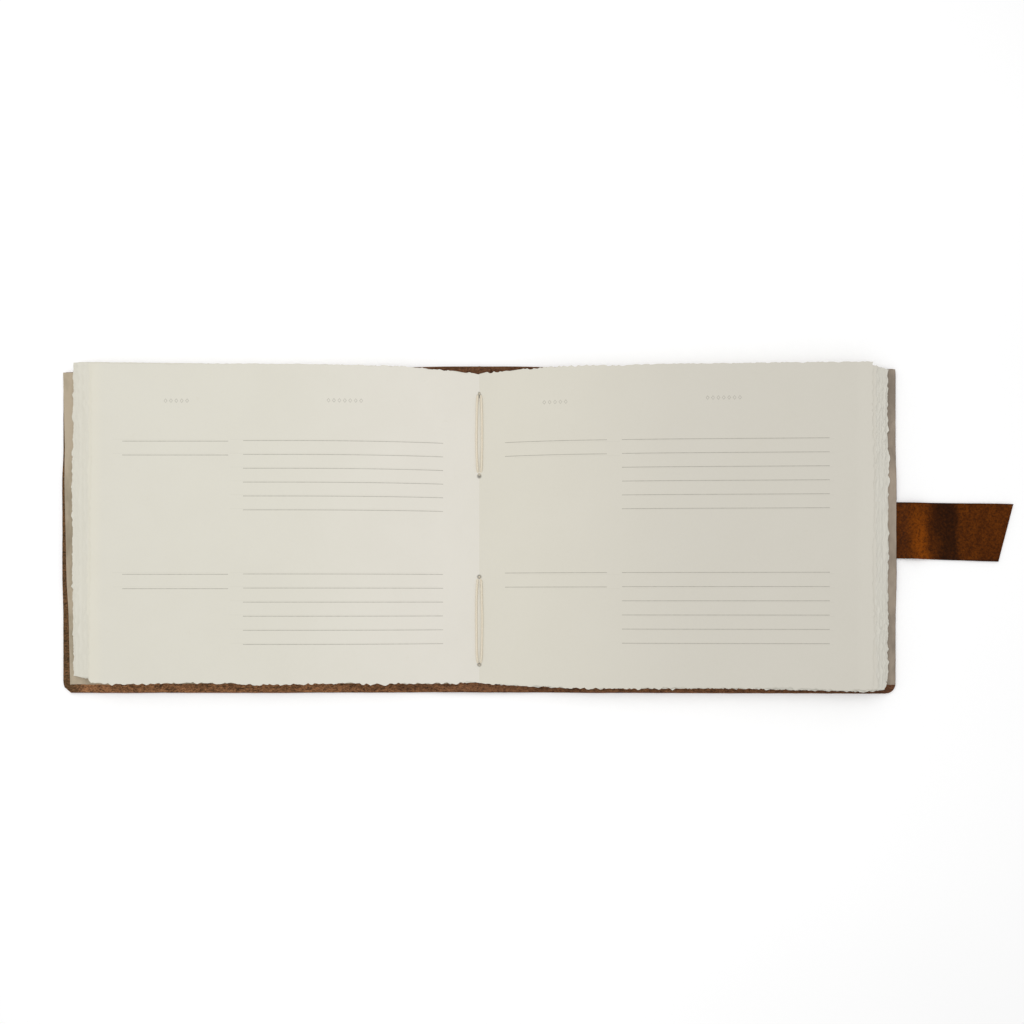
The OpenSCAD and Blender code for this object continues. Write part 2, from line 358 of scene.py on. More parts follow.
def flesh_side(name):
    """The rough inner face of a hide: matted fibres in mixed browns, duller at the left fore edge, with
    painted shade along the head edge and towards the right.
    """
    shader = Shader(name)
    patch = shader.noise(60, 4, 0.6)
    fibre = shader.noise(760, 5, 0.78, stretch=(0.75, 1.3, 1), distortion=1.0)
    speck = shader.noise(2000, 3, 0.7)
    crack = shader.noise(300, 4, 0.7, stretch=(0.55, 1.6, 1), distortion=1.6)
    colour = shader.blend(shader.ramp(patch, 0.3, 0.7), srgb(135, 95, 64), srgb(160, 113, 77))
    colour = shader.tint(colour, fibre, (0.38, 0.52, 0.92, 0.0), (50, 33, 22))
    colour = shader.tint(colour, fibre, (0.52, 0.66, 0.0, 0.75), (200, 144, 100))
    colour = shader.tint(colour, crack, (0.36, 0.47, 0.75, 0.0), (52, 34, 22))
    colour = shader.tint(colour, crack, (0.54, 0.66, 0.0, 0.45), (196, 136, 94))
    colour = shader.tint(colour, speck, (0.56, 0.78, 0.0, 0.4), (190, 142, 102))
    axes = shader.node("SeparateXYZ", {"Vector": shader.node("TexCoord").outputs["Object"]})

    def across(start, end, most):
        """Rises from 0 to most between two places, in millimetres from the gutter."""
        return shader.ramp(axes.outputs[0], (GUTTER + start) * MM, (GUTTER + end) * MM, 0.0, most)

    # Painted shade along the head edge.
    head = shader.ramp(axes.outputs[1], 96 * MM, 99 * MM, 0.0, 0.45)
    colour = shader.blend(head, colour, srgb(54, 38, 26))
    # Painted shade, deepening towards the right and strongest near the right fore edge.
    colour = shader.blend(across(-150, 30, 0.44), colour, srgb(78, 48, 36))
    colour = shader.blend(across(170, 245, 0.45), colour, srgb(64, 34, 27))
    dull = across(14 - COVER_REACH, 4 - COVER_REACH, 0.85)
    dull = shader.times(dull, shader.ramp(fibre, 0.3, 0.7, 1.0, 0.55))
    colour = shader.blend(dull, colour, srgb(62, 51, 32))
    coarse = shader.bump(fibre, 0.0012, 0.8)
    normal = shader.bump(speck, 0.0004, 0.5, coarse)
    return shader.finish(colour, 0.95, 0.1, normal)


def cut_edge(name):
    """The cut thickness of a hide: fine packed fibres."""
    shader = Shader(name)
    fibre = shader.noise(1500, 4, 0.7, stretch=(0.5, 1, 2.5))
    tone = shader.noise(90, 3, 0.5)
    colour = shader.blend(shader.ramp(tone, 0.3, 0.7), srgb(92, 61, 40), srgb(116, 80, 54))
    colour = shader.tint(colour, fibre, (0.35, 0.6, 0.45, 0.0), (58, 38, 25))
    return shader.finish(colour, 0.9, 0.12, shader.bump(fibre, 0.0003, 0.5))


def grain_side(name, base, dark, light, roughness):
    """The smooth outer face of an oiled hide: fine pebbles, pull-up marks and paler scuffs."""
    shader = Shader(name)
    where = shader.node("TexCoord").outputs["Object"]
    pebble = shader.node("TexVoronoi", {"Vector": where, "Scale": 900.0}, feature="DISTANCE_TO_EDGE")
    pores = shader.ramp(pebble.outputs["Distance"], 0.0, 0.12)
    pull = shader.noise(30, 5, 0.6, stretch=(1, 0.6, 1), distortion=0.5)
    streak = shader.noise(260, 4, 0.7, stretch=(1, 2.2, 1))
    colour = shader.blend(shader.ramp(pull, 0.3, 0.72), dark, base)
    colour = shader.blend(shader.ramp(streak, 0.5, 0.8, 0.0, 0.3), colour, light)
    colour = shader.blend(shader.ramp(pores, 0.0, 1.0, 0.35, 0.0), colour, dark)
    scuff = shader.ramp(shader.noise(120, 6, 0.8, distortion=2.0), 0.62, 0.78, 0.0, 0.25)
    colour = shader.blend(scuff, colour, light)
    rough = shader.ramp(pull, 0.3, 0.7, roughness - 0.05, roughness + 0.08)
    soft = shader.bump(shader.noise(60, 3, 0.5), 0.0012, 0.35)
    creases = shader.bump(streak, 0.0002, 0.35, soft)
    normal = shader.bump(pores, 0.00012, 0.45, creases)
    return shader.finish(colour, rough, 0.2, normal)


def strap_leather(name):
    """Oiled strap leather, with a painted orange-brown highlight where it bends up and painted shade, nearly
    black, where it dips.
    """
    shader = Shader(name)
    axes = shader.node("SeparateXYZ", {"Vector": shader.node("TexCoord").outputs["Object"]})
    beyond = shader.math("SUBTRACT", shader.math("DIVIDE", axes.outputs[0], MM), GUTTER + COVER_REACH)
    up = shader.math("DIVIDE", axes.outputs[1], MM)
    drift = shader.times(shader.math("SUBTRACT", shader.noise(75, 4, 0.6), 0.5), 12.0)
    lean = shader.times(up, 0.08)
    beyond = shader.math("ADD", shader.math("ADD", beyond, drift), lean)

    def band(rise_start, rise_end, fall_start, fall_end):
        """1 in a band across the strap, in millimetres beyond the cover, and 0 outside it."""
        rise = shader.ramp(beyond, rise_start, rise_end)
        return shader.times(rise, shader.ramp(beyond, fall_start, fall_end, 1.0, 0.0))

    # Painted highlight on the crest where the strap bends up, and painted shade in the dip beyond it.
    painted_crest_highlight = shader.times(band(6.0, 15.0, 18.0, 24.0), shader.ramp(up, -6.0, 15.0, 1.0, 0.35))
    painted_dip_shade = band(21.0, 31.0, 36.0, 43.0)
    mottle = shader.noise(620, 5, 0.8, distortion=0.5)
    streak = shader.noise(120, 4, 0.65, stretch=(1, 0.35, 1))
    colour = shader.blend(shader.ramp(streak, 0.3, 0.7), srgb(70, 31, 3), srgb(92, 44, 4))
    colour = shader.blend(shader.times(painted_crest_highlight, 0.9), colour, srgb(126, 62, 4))
    colour = shader.tint(colour, mottle, (0.54, 0.38, 0.0, 0.7), (38, 16, 3))
    colour = shader.tint(colour, mottle, (0.52, 0.68, 0.0, 0.38), (122, 68, 12))
    # Mottle that breaks up the painted shade in the dip.
    dip_shade_mottle = shader.ramp(mottle, 0.36, 0.64, 0.96, 0.72)
    colour = shader.blend(shader.times(painted_dip_shade, dip_shade_mottle), colour, srgb(32, 13, 3))
    edge = shader.ramp(shader.away(up, -0.6), 16.6, 18.2, 0.0, 0.7)
    colour = shader.blend(edge, colour, srgb(36, 15, 5))
    rough = shader.ramp(mottle, 0.3, 0.7, 0.42, 0.56)
    soft = shader.bump(shader.noise(90, 3, 0.5), 0.0010, 0.4)
    normal = shader.bump(mottle, 0.00025, 0.5, soft)
    return shader.finish(colour, rough, 0.04, normal)


def waxed_thread(name):
    shader = Shader(name)
    fuzz = shader.noise(2200, 3, 0.6)
    colour = shader.blend(shader.ramp(fuzz, 0.3, 0.7), srgb(206, 195, 172), srgb(222, 212, 194))
    return shader.finish(colour, 0.6, 0.4, shader.bump(fuzz, 0.0001, 0.4))


def floor_surface(name):
    shader = Shader(name)
    tone = shader.ramp(shader.noise(3, 2, 0.5), 0.3, 0.7)
    colour = shader.blend(tone, srgb(252, 252, 252), srgb(254, 254, 254))
    return shader.finish(colour, 0.95, 0.0)


PAGE_PAPER = {LEFT: printed_paper("page_left", LEFT), RIGHT: printed_paper("page_right", RIGHT)}
# One paper on both sides; the right copy is a touch darker, painted shade.
LEAF_PAPER_WITH_PAINTED_SHADE = {LEFT: plain_paper("leaves_left", srgb(211, 208, 196)),
              RIGHT: plain_paper("leaves_right_painted_shade", srgb(209, 206, 196))}
# One endpaper stock on both sides; the right copy is darker, painted shade from the leaves beside it.
ENDPAPER_WITH_PAINTED_SHADE = {LEFT: endpaper_stock("endpaper_left", srgb(174, 159, 136), srgb(143, 132, 112)),
            RIGHT: endpaper_stock("endpaper_right_painted_shade", srgb(153, 138, 122), srgb(128, 117, 104))}
FLESH = flesh_side("leather_flesh")
CUT = cut_edge("leather_cut")
GRAIN = grain_side("leather_grain", srgb(106, 58, 27), srgb(76, 41, 20), srgb(142, 88, 48), 0.5)
STRAP = strap_leather("strap_leather")
THREAD = waxed_thread("waxed_thread")
FLOOR = floor_surface("studio_floor")

# ---- mesh helpers


SHARP = math.radians(50)
SLAB_BANDS = (0.26, 0.74)


def mesh_object(name, points, faces, materials, face_materials=None, uvs=None):
    """An object from points in metres. uvs is one pair for each point."""
    mesh = bpy.data.meshes.new(name)
    mesh.from_pydata([tuple(p) for p in points], [], faces)
    if uvs is not None:
        layer = mesh.uv_layers.new(name="leaf")
        for loop in mesh.loops:
            layer.data[loop.index].uv = uvs[loop.vertex_index]
    for material in materials:
        mesh.materials.append(material)
    if face_materials is not None:
        mesh.polygons.foreach_set("material_index", face_materials)
    shape = bmesh.new()
    shape.from_mesh(mesh)
    bmesh.ops.recalc_face_normals(shape, faces=shape.faces)
    shape.to_mesh(mesh)
    shape.free()
    mesh.polygons.foreach_set("use_smooth", [True] * len(mesh.polygons))
    mesh.set_sharp_from_angle(angle=SHARP)
    mesh.update()
    made = bpy.data.objects.new(name, mesh)
    bpy.context.scene.collection.objects.link(made)
    return made


def ring_of_grid(nx, ny):
    """Indices round the edge of a grid whose point (i, j) has index i * ny + j."""
    ring = [i * ny for i in range(nx)]
    ring += [(nx - 1) * ny + j for j in range(1, ny)]
    ring += [i * ny + ny - 1 for i in range(nx - 2, -1, -1)]
    ring += [j for j in range(ny - 2, 0, -1)]
    return ring


def slab(name, grid, top, bottom, soften, materials, keep_edge=None):
    """A sheet of leather or paper. grid[i][j] is (x, y), top and bottom give heights there.

    Its cut edges are rounded over by soften, except where keep_edge(x, y) is true. The materials
    are for top, bottom and cut edge. The last one serves for any that are missing."""
    nx, ny = len(grid), len(grid[0])
    flat = [p for column in grid for p in column]
    ring = ring_of_grid(nx, ny)
    inward = {}
    for n, index in enumerate(ring):
        before, after = Vector(flat[ring[n - 1]]), Vector(flat[ring[(n + 1) % len(ring)]])
        along = after - before
        normal = Vector((-along.y, along.x)).normalized() if along.length > 1e-9 else Vector((0, 0))
        inward[index] = normal * soften
    corners = [flat[index] for index in ring]
    area = sum(a[0] * b[1] - b[0] * a[1] for a, b in zip(corners[-1:] + corners, corners))
    turn = 1 if area > 0 else -1
    points, uvs = [], []

    def add(x, y, z):
        points.append(place(x, y, z))
        uvs.append((abs(x) * MM, (y + UV_LIFT) * MM))

    for surface in (top, bottom):
        for index, (x, y) in enumerate(flat):
            px, py = x, y
            if index in inward and not (keep_edge and keep_edge(x, y)):
                px, py = x + inward[index].x * turn, y + inward[index].y * turn
            add(px, py, surface(x, y))
    starts = []
    for share in SLAB_BANDS:
        starts.append(len(points))
        for index in ring:
            x, y = flat[index]
            add(x, y, mix(top(x, y), bottom(x, y), share))
    faces, kinds = [], []
    count = nx * ny
    for level in (0, 1):
        for i in range(nx - 1):
            for j in range(ny - 1):
                a = level * count + i * ny + j
                faces.append((a, a + ny, a + ny + 1, a + 1))
                kinds.append(level)
    loops = [ring] + [range(start, start + len(ring)) for start in starts] + [[count + k for k in ring]]
    for upper, lower in zip(loops, loops[1:]):
        for n in range(len(ring)):
            m = (n + 1) % len(ring)
            faces.append((upper[n], upper[m], lower[m], lower[n]))
            kinds.append(2)
    kinds = [min(k, len(materials) - 1) for k in kinds]
    return mesh_object(name, points, faces, materials, kinds, uvs)


def steps(*stretches):
    """Values from a list of (start, end, spacing) stretches that follow one another."""
    values = []
    for start, end, spacing in stretches:
        count = max(1, round(abs(end - start) / spacing))
        values += [mix(start, end, n / count) for n in range(count)]
    return values + [stretches[-1][1]]


def tube(points, radius, sides, plies, twist):
    """Points and faces of a rod along points, with a lobe for each of its twisted plies."""
    rings, faces = [], []
    travelled = 0.0
    for n, point in enumerate(points):
        ahead = points[min(n + 1, len(points) - 1)] - points[max(n - 1, 0)]
        ahead = ahead.normalized()
        travelled += (point - points[n - 1]).length if n else 0.0
        side = ahead.cross(Vector((0, 0, 1)))
        side = side.normalized() if side.length > 0.3 else ahead.cross(Vector((1, 0, 0))).normalized()
        over = side.cross(ahead)
        ring = []
        for k in range(sides):
            angle = 2 * math.pi * k / sides
            lobe = 0.84 + 0.16 * abs(math.cos(plies * (angle + travelled * twist) / 2))
            ring.append(point + (side * math.cos(angle) + over * math.sin(angle)) * radius * lobe)
        rings.append(ring)
    flat = [p for ring in rings for p in ring]
    for n in range(len(rings) - 1):
        for k in range(sides):
            m = (k + 1) % sides
            faces.append((n * sides + k, n * sides + m, (n + 1) * sides + m, (n + 1) * sides + k))
    faces.append(tuple(range(sides - 1, -1, -1)))
    faces.append(tuple((len(rings) - 1) * sides + k for k in range(sides)))
    return flat, faces


def thread_object(name, routes, radius, plies=3, twist=1.1):
    """Several rods as one object. Each route is a list of (x, y, z)."""
    points, faces = [], []
    for route in routes:
        made, of_rod = tube([Vector(p) for p in route], radius, 12, plies, twist)
        faces += [tuple(k + len(points) for k in face) for face in of_rod]
        points += [place(*p) for p in made]
    return mesh_object(name, points, faces, [THREAD])


# ---- covers

SAG = 1.45
LIFTED_X, LIFTED_Y = 206, 29
HEAD_Y = 102.8
CUT_CORNER, ROUND_CORNER, HEAD_CORNER = 3.6, 6.2, 1.6
CORNERED_FROM = 180


def sag(x, y):
    """How far the limp cover drops to the table where no strap or keeper lifts it."""
    out = smooth((abs(x) - HALF_SPINE - 2) / 30)
    beside = smooth((abs(y) - LIFTED_Y) / 26)
    inside = smooth((LIFTED_X - abs(x)) / 30)
    return SAG * out * max(beside, inside)


def head_y(x):
    """Height of the covers' head edge."""
    fall = 3.0 if x < 0 else 0.9
    return HEAD_Y - (fall + 0.3) * (abs(x) / COVER_REACH) ** 2 + 0.12 * wander(x / 24, 3)


def tail_y(x):
    """Height of the covers' tail edge, which arches a little at the spine."""
    arch = 0.5 * math.exp(-(x / 70) ** 2)
    return TAIL_Y - 0.2 + arch - 0.4 * smooth(x / 260) + 0.22 * wander(x / 31, 9) + 0.1 * wander(x / 6, 4)


def rounding(radius, near):
    """How far a rounded corner falls back at a distance near from the edge beside it."""
    off = max(0.0, radius - near)
    return radius - math.sqrt(max(0.0, radius * radius - off * off))


def cover_edge(side, y):
    """Reach of a cover's fore edge at height y, with its corners cut or rounded."""
    reach = COVER_REACH + 0.6 + 0.15 * wander(y / 22, side * 7) + 0.08 * wander(y / 3, side * 5)
    near_tail, near_head = y - tail_y(side * COVER_REACH), head_y(side * COVER_REACH) - y
    if side == LEFT:
        reach -= max(0.0, CUT_CORNER - near_tail) + 1.2 * (1 - smooth(near_tail / 8))
    else:
        reach -= rounding(ROUND_CORNER, near_tail)
    return reach - rounding(HEAD_CORNER, near_head)


def cover_grid(side):
    """The cover's (x, y) points in columns, closer together at the crease and at its edges."""
    fine = steps((0.0, 7.0, 2.4), (7.0, 19.0, 0.6), (19.0, 246.0, 3.2), (246.0, COVER_REACH, 1.2))
    shares = [v / COVER_REACH for v in fine]
    ups = steps((0.0, 1.2, 0.3), (1.2, 8.0, 0.75), (8.0, COVER_H - 8, 3.2), (COVER_H - 8, COVER_H, 0.6))
    grid = []
    for share in shares:
        column = []
        for up in ups:
            nominal = share * COVER_REACH
            y = mix(tail_y(side * nominal), head_y(side * nominal), up / COVER_H)
            out = max(0.0, (nominal - CORNERED_FROM) / (COVER_REACH - CORNERED_FROM))
            x = mix(min(nominal, CORNERED_FROM), cover_edge(side, y), out)
            column.append((side * x, y))
        grid.append(column)
    return grid


def cover_top(x, y):
    return INNER_Z - sag(x, y) + 0.12 * wander(x / 40, y / 40, 1) * smooth((abs(x) - 20) / 30)


def cover_bottom(x, y):
    return COVER_Z - sag(x, y) + 0.04


def cover_panel(name, side):
    """One cover with its half of the spine leather, in one mesh across the crease."""
    made = slab(name, cover_grid(side), cover_top, cover_bottom, 0.4, [FLESH, GRAIN, CUT],
                lambda x, y: abs(x) < 1e-6)
    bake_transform(made)
    return made


front = cover_panel("leather_wrap_front", LEFT)
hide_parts("front_cover_leather", "spine_leather")
back = cover_panel("leather_wrap_back", RIGHT)
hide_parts("back_cover_leather")


ENDPAPER_W, ENDPAPER_H = 246, 196
ENDPAPER_UNDER, ENDPAPER_OVER = 0.02, 0.34


def endpaper(name, side, body, node):
    """A taupe sheet pasted inside a cover, with torn ends."""
    outs = steps((0.0, 1.0, 0.25), (1.0, 225.0, 4.0), (225.0, ENDPAPER_W, 1.5))
    ups = steps((0.0, ENDPAPER_H, 2.0))
    grid = []
    for out in outs:
        column = []
        for up in ups:
            share = out / ENDPAPER_W
            torn = 0.7 * wander(out / 11, 31 * side) + 0.3 * wander(out / 3, 8)
            low = -95.6 + torn - 0.9 * share ** 4
            high = 99.1 if side == LEFT else 98.7 + 2.5 * share
            y = mix(low, high, up / ENDPAPER_H)
            lean = (high - y) / ENDPAPER_H
            reach = COVER_REACH + 0.35 - (4.4 * lean if side == LEFT else 0.3)
            reach += 0.10 * wander(y / 9, 5 * side)
            x = mix(HALF_SPINE + 1.4, reach, share)
            column.append((side * x, y))
        grid.append(column)
    made = slab(name, grid, lambda x, y: cover_top(x, y) + ENDPAPER_OVER,
                lambda x, y: cover_top(x, y) + ENDPAPER_UNDER, 0.05, [ENDPAPER_WITH_PAINTED_SHADE[side]])
    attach(made, body)
    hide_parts(node)


endpaper("front_endpaper_sheet", LEFT, "front_cover", "front_endpaper")
endpaper("back_endpaper_sheet", RIGHT, "back_cover", "back_endpaper")

# ---- leaves

LEAF_TOP = PAGE_TOP - 0.35
GUTTER_Z = 5.7
VALLEY = 115.0
STACK_LOW = INNER_Z + 0.5
SHEET, LOFTY_SHEET = 0.14, 0.40
LEAF_W = 245
DECKLE_DEPTH = 0.62
NOTCH_R = 0.85


def row_distance(j):
    """Distance from the gutter of the sewing row that leaf j, counted from the bottom, is sewn to."""
    signature = min(2, j // (2 * LEAVES_PER_LEVEL))
    return (2 - signature) * ROW_PITCH


def valley_top(d):
    """Height of the open page at distance d: level, then falling into the gutter."""
    return LEAF_TOP - (LEAF_TOP - GUTTER_Z) * max(0.0, 1 - d / VALLEY) ** 1.9


def leaf_level(j, d):
    """Height of leaf j at distance d from the gutter, before waves."""
    missing = (LEAVES - LEAVES_PER_LEVEL) * max(0.0, 1 - d / (HALF_SPINE + 3))
    share = max(0.02, (j + 0.6 - missing) / (LEAVES - missing))
    return STACK_LOW + share * (valley_top(d) - STACK_LOW)


def leaf_z(side, j, d, y):
    """Height of leaf j at (d, y): its level with the waves of the block and its own."""
    far = smooth((d - 20) / 160)
    share = (j + 1) / LEAVES
    wave = 0.45 * wander(d / 70, y / 60, side * 3) * far * share
    own = 0.22 * wander(d / 38, y / 33, j * 5.7 + side) * far if j < TOP else 0.0
    curl = -0.25 * smooth((abs(y) - 60) / 40) * far * share
    droop = -sag(d, y) * (1 - share) ** 2 * 0.8
    return leaf_level(j, d) + wave + own + curl + droop


def sheet_t(d):
    """Thickness of a leaf, pressed thin at the fold and lofty at the fore edge."""
    return mix(SHEET, LOFTY_SHEET, smooth((d - 12) / 100))


# Head and tail of the open pages. The leaves under them stick out or fall short.
LEAF_HEAD = {LEFT: 101.5, RIGHT: HEAD_Y}
LEAF_TAIL = {LEFT: -94.6, RIGHT: -97.6}


def outer_part(d):
    """0 over the inner part of a leaf, rising to 1 at the fore edge of the page."""
    return smooth((d - 150) / (PAGE_W - 150))


def leaf_head(side, j, d):
    """Head edge of a leaf at distance d, before its deckle."""
    if side == LEFT:
        drop = 1.1 * (1 - d / PAGE_W) + 3.2 * max(0.0, 1 - d / 60) ** 1.3
        lift = 0.0 if j == TOP else 3.9 * (d / LEAF_W) * (1 - 0.85 * j / LEAVES) - 0.3
        return LEAF_HEAD[side] - drop + lift
    drop = 3.2 * (1 - d / PAGE_W) + 2.0 * max(0.0, 1 - d / 40)
    return LEAF_HEAD[side] - drop - (0.0 if j == TOP else 0.5 + 1.6 * outer_part(d))


def leaf_tail(side, j, d):
    """Tail edge of a leaf at distance d, before its deckle."""
    if side == LEFT:
        short = 0.0 if j == TOP else 2.9 * (d / LEAF_W) + 0.3
        return LEAF_TAIL[side] - 0.5 * math.exp(-d / 30) + short
    full = LEAF_TAIL[side] + 2.4 * math.exp(-d / 32) - 1.1 * outer_part(d)
    if j == TOP:
        return full
    return full + 0.4 + (3.6 if j < LEAVES_PER_LEVEL else -1.7 * (1 - j / LEAVES)) * outer_part(d)


# Reach of the fore edges, from the lowest level to the fifth and then the uppermost page.
FANNED = {LEFT: (253.9, 251.2, 247.9, 244.2, 240.6, 237.6),
          RIGHT: (255.2, 252.9, 249.9, 247.0, 244.4, 241.7)}


def leaf_reach(side, j):
    """Distance of a leaf's fore edge from the gutter, before its deckle."""
    if j == TOP:
        return FANNED[side][-1]
    level, inner = divmod(j, LEAVES_PER_LEVEL)
    return FANNED[side][level] - 0.5 * inner + 0.5 * wander(j * 3.1, side * 2.2)


def deckle(s, seed, notched):
    """Offset of a torn edge at length s: outward lobes with sharp notches, or the reverse."""
    lobes = abs(wander(s / 4.4, seed, 0.5)) * 4.4 - 0.95
    if not notched:
        lobes = -lobes
    slow = 0.9 * wander(s / 36, seed, 4)
    fine = 0.30 * wander(s / 1.7, seed, 8) + 0.14 * wander(s / 0.8, seed, 2)
    return DECKLE_DEPTH * lobes + slow + fine


def leaf_outline(side, j, start, spacing):
    """The leaf's edge as (d, y) points, anticlockwise from the fold's tail end.

    A leaf that starts at the gutter has a half-round notch at each sewing hole."""
    seed = j * 7.7 + side * 41
    reach = leaf_reach(side, j)

    def fore_edge(y):
        lean = 1.4 * smooth((99 - y) / 190) - 0.7 if side == LEFT and j == TOP else 0.0
        return reach + lean + deckle(y, seed + 3, True) * 0.85

    def ends(n, count):
        """0 at both ends of an edge of count steps and 1 between them."""
        return smooth(n / 3) * smooth((count - n) / 3)

    tail_corner = (fore_edge(-93), leaf_tail(side, j, reach) + 0.5)
    head_corner = (fore_edge(99), leaf_head(side, j, reach) - 0.3)
    points = []
    count = round((reach - start) / spacing)
    for n in range(count):
        d = mix(start, tail_corner[0], n / count)
        torn = deckle(d, seed, True) * ends(n, count)
        corner = 0.5 * (1 - smooth((count - n) / 3))
        points.append((d, leaf_tail(side, j, d) - torn + corner))
    count = round((head_corner[1] - tail_corner[1]) / spacing)
    for n in range(count):
        y = mix(tail_corner[1], head_corner[1], n / count)
        round_in = 0.5 * (1 - smooth(n / 2)) + 0.5 * (1 - smooth((count - n) / 2))
        points.append((fore_edge(y) - round_in, y))
    count = round((reach - start) / spacing)
    for n in range(count):
        d = mix(head_corner[0], start, n / count)
        fade = ends(n, count) * mix(0.9, 0.4, smooth((d - 55) / 60))
        corner = 0.3 if n < 2 else 0.0
        points.append((d, leaf_head(side, j, d) + deckle(d, seed + 9, False) * fade - corner))
    head, tail = leaf_head(side, j, start), leaf_tail(side, j, start)
    if start > 0.0:
        return points + [(start, y) for y in steps((head, tail, 6.0))[:-1]]
    for y in STATIONS:
        points += [(start, up) for up in steps((head, y + NOTCH_R, 2.5))[:-1]]
        for n in range(6):
            angle = math.pi * n / 6
            points.append((NOTCH_R * math.sin(angle), y + NOTCH_R * math.cos(angle)))
        head = y - NOTCH_R
    return points + [(start, up) for up in steps((head, tail, 2.5))[:-1]]


def leaf_inside(side, j, start, column_list, row_spacing, root_end):
    """Points inside the outline, in columns. Up to root_end they are as close along as across."""
    points = []
    for d in column_list:
        if d <= start + 0.4 or d > leaf_reach(side, j) - 3.2:
            continue
        low, high = leaf_tail(side, j, d) + 2.6, leaf_head(side, j, d) - 2.6
        count = max(2, round((high - low) / (ROOT_ROWS if d <= root_end else row_spacing)))
        points += [(d, mix(low, high, n / count)) for n in range(count + 1)]
    return points


# Where the points inside a leaf are. A turning page's root reaches as far out as its crease.
COARSE = steps((1.2, 6.0, 1.6), (6.0, 30.0, 4.0), (30.0, 120.0, 12.0), (120.0, 250.0, 24.0))
PAGE_CREASE = 14.0
ROOT_ROWS = 1.4
FINE = steps((1.1, 6.0, 0.7), (6.0, PAGE_CREASE, 0.8), (PAGE_CREASE, 30.0, 2.0), (30.0, 120.0, 4.5),
             (120.0, 250.0, 6.5))


def leaf_plan(side, j, start, fine, crease=None):
    """The flat leaf as (d, y) points and triangles, with edges along the crease if it has one."""
    outline = leaf_outline(side, j, start, 1.3 if fine else 2.0)
    inner = leaf_inside(side, j, start, FINE if fine else COARSE, 6.0 if fine else 22.0, crease or 0.0)
    flat = [Vector(p) for p in outline + inner]
    cuts = []
    if crease is not None:
        cuts = [(len(flat), len(flat) + 1)]
        flat += [Vector((crease, TAIL_Y - 10)), Vector((crease, 10 - TAIL_Y))]
    points, _, triangles, *_ = delaunay_2d_cdt(flat, cuts, [list(range(len(outline)))], 1, 1e-5)
    return points, [tuple(t) for t in triangles]


def print_bend(side, d):
    """Share by which the ruling spreads from the point under the camera."""
    bend = 0.013 * math.exp(-d / 26)
    if side == RIGHT and d > 88:
        bend -= 0.010 * (d - 88) / 126
    return bend


def leaf_object(name, side, j, plan, triangles, material):
    """A leaf, or the part of it that the triangles cover, draped over the valley."""
    used = sorted({k for t in triangles for k in t})
    index = {k: n for n, k in enumerate(used)}
    points = [plan[k] for k in used]
    triangles = [tuple(index[k] for k in t) for t in triangles]
    sides = {(a, b) for t in triangles for a, b in zip(t, t[1:] + t[:1])}
    rim = [(a, b) for a, b in sorted(sides) if (b, a) not in sides]
    count = len(points)
    placed, uvs = [], []
    for over in (1, 0):
        for d, y in points:
            z = leaf_z(side, j, d, y) + (over - 0.5) * sheet_t(d)
            placed.append(place(side * d, y, z))
            ruled_y = CAMERA_Y + (y - CAMERA_Y) * (1 + print_bend(side, d))
            uvs.append((d * MM, (ruled_y + UV_LIFT) * MM))
    faces = triangles + [tuple(k + count for k in reversed(t)) for t in triangles]
    faces += [(b, a, a + count, b + count) for a, b in rim]
    return mesh_object(name, placed, faces, [material], None, uvs)


def flatten(leaf):
    """Gives a leaf its own copy of its mesh."""
    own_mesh(leaf)


def make_page(side, word):
    """The page that turns: a root over the gutter, as far out as the crease, and the free sheet beyond it,
    which rides on the page's body.
    """
    plan, triangles = leaf_plan(side, TOP, 0.0, True, PAGE_CREASE)
    near = [t for t in triangles if sum(plan[k].x for k in t) < 3 * PAGE_CREASE]
    far = [t for t in triangles if sum(plan[k].x for k in t) >= 3 * PAGE_CREASE]
    root = leaf_object(f"page_{word}_root", side, TOP, plan, near, PAGE_PAPER[side])
    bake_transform(root)
    sheet = leaf_object(f"page_{word}", side, TOP, plan, far, PAGE_PAPER[side])
    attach(sheet, f"{word}_page")
    flatten(sheet)
    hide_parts(f"{word}_page")


for side, word in ((LEFT, "left"), (RIGHT, "right")):
    for j in range(TOP):
        level = j // LEAVES_PER_LEVEL
        start = row_distance(j) - (0.0 if row_distance(j) == 0 else 0.4)
        second = j == TOP - 1
        plan, triangles = leaf_plan(side, j, start, second)
        leaf = leaf_object(f"leaf_{word}_{j + 1:02d}", side, j, plan, triangles,
                           PAGE_PAPER[side] if second else LEAF_PAPER_WITH_PAINTED_SHADE[side])
        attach(leaf, LEAF_BODIES[side][level])
        flatten(leaf)
        if j % LEAVES_PER_LEVEL == 0:
            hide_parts(BLOCKS[side][level])
    make_page(side, word)


FOLD_PITCH = 0.17
FOLD_W = 3.0


def row_x(signature):
    """Where a signature's sewing row is, from the gutter."""
    return (signature - OPEN_AT) * ROW_PITCH


def fold_path(signature, folio):
    """Section across a folded sheet, as (x, z) points. Folio 0 is the inmost."""
    if signature == OPEN_AT:
        low = INNER_Z + 0.15 + FOLD_PITCH * (LEAVES_PER_LEVEL - 1 - folio)
        half = [(0.0, low), (FOLD_W / 2, low + 0.08), (FOLD_W, low + 0.3)]
        return [(-x, z) for x, z in half[:0:-1]] + half
    row = row_x(signature)
    toward = LEFT if row < 0 else RIGHT
    middle = INNER_Z + 0.85
    radius = 0.1 + FOLD_PITCH * folio
    path = [(row + toward * FOLD_W, middle + radius + 0.35)]
    for n in range(9):
        angle = math.pi * n / 8
        path.append((row - toward * radius * math.sin(angle), middle + radius * math.cos(angle)))
    return path + [(row + toward * FOLD_W, middle - radius)]


